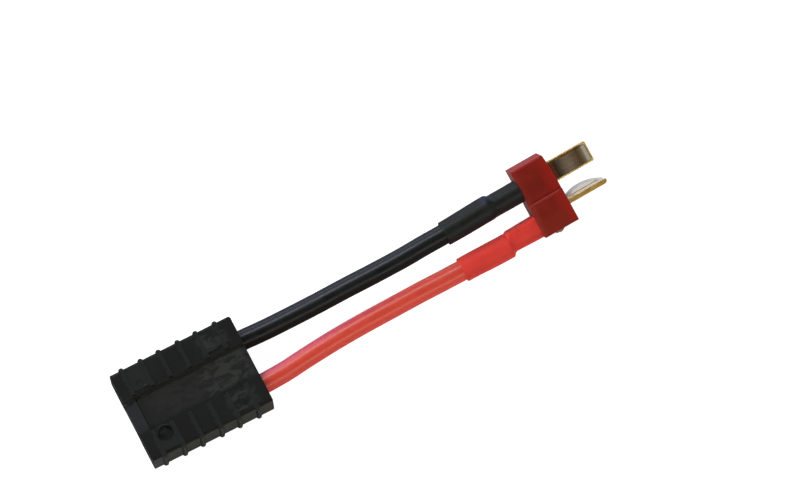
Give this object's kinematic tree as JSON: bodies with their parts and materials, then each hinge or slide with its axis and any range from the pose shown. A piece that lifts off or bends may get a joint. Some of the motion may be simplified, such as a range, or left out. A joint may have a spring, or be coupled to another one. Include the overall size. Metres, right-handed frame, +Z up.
{
  "type": "battery connector adapter",
  "caption": "Battery connector adapter: ribbed black socket housing joined by short black and red silicone leads to a dark red plug with gold blades.",
  "frame": {"origin": "on the floor under the middle of the whole adapter's box, as it lies at rest", "axes": "+X from the ribbed housing towards the plug's blades, +Y towards the black lead, +Z up from the table"},
  "size_m": [0.1164, 0.024, 0.0125],
  "materials": {
    "black_nylon": "fine matt moulding",
    "red_nylon": "satin moulding",
    "black_silicone": "soft, slightly glossy",
    "red_silicone": "soft, slightly glossy",
    "black_heat_shrink": "satin, shrunk on",
    "red_heat_shrink": "satin, shrunk on",
    "gold_plate": "bright gold plating",
    "spring_metal": "bright rolled strip",
    "solder": "frozen solder, slightly dull",
    "copper": "fine copper strand"
  },
  "bodies": {
    "root": {"connector_housing": "black_nylon", "black_terminal": "gold_plate", "red_terminal": "gold_plate", "black_terminal_spring": "spring_metal", "red_terminal_spring": "spring_metal", "black_cup_solder": "solder", "red_cup_solder": "solder", "black_lead": "black_silicone", "red_lead": "red_silicone", "black_lead_core": "copper", "red_lead_core": "copper", "black_sleeve": "black_heat_shrink", "red_sleeve": "red_heat_shrink", "black_tab_solder": "solder", "red_tab_solder": "solder", "plug_body": "red_nylon", "flat_blade": "gold_plate", "upright_blade": "gold_plate", "flat_blade_spring": "spring_metal", "upright_blade_spring": "spring_metal"}
  },
  "joints": []
}
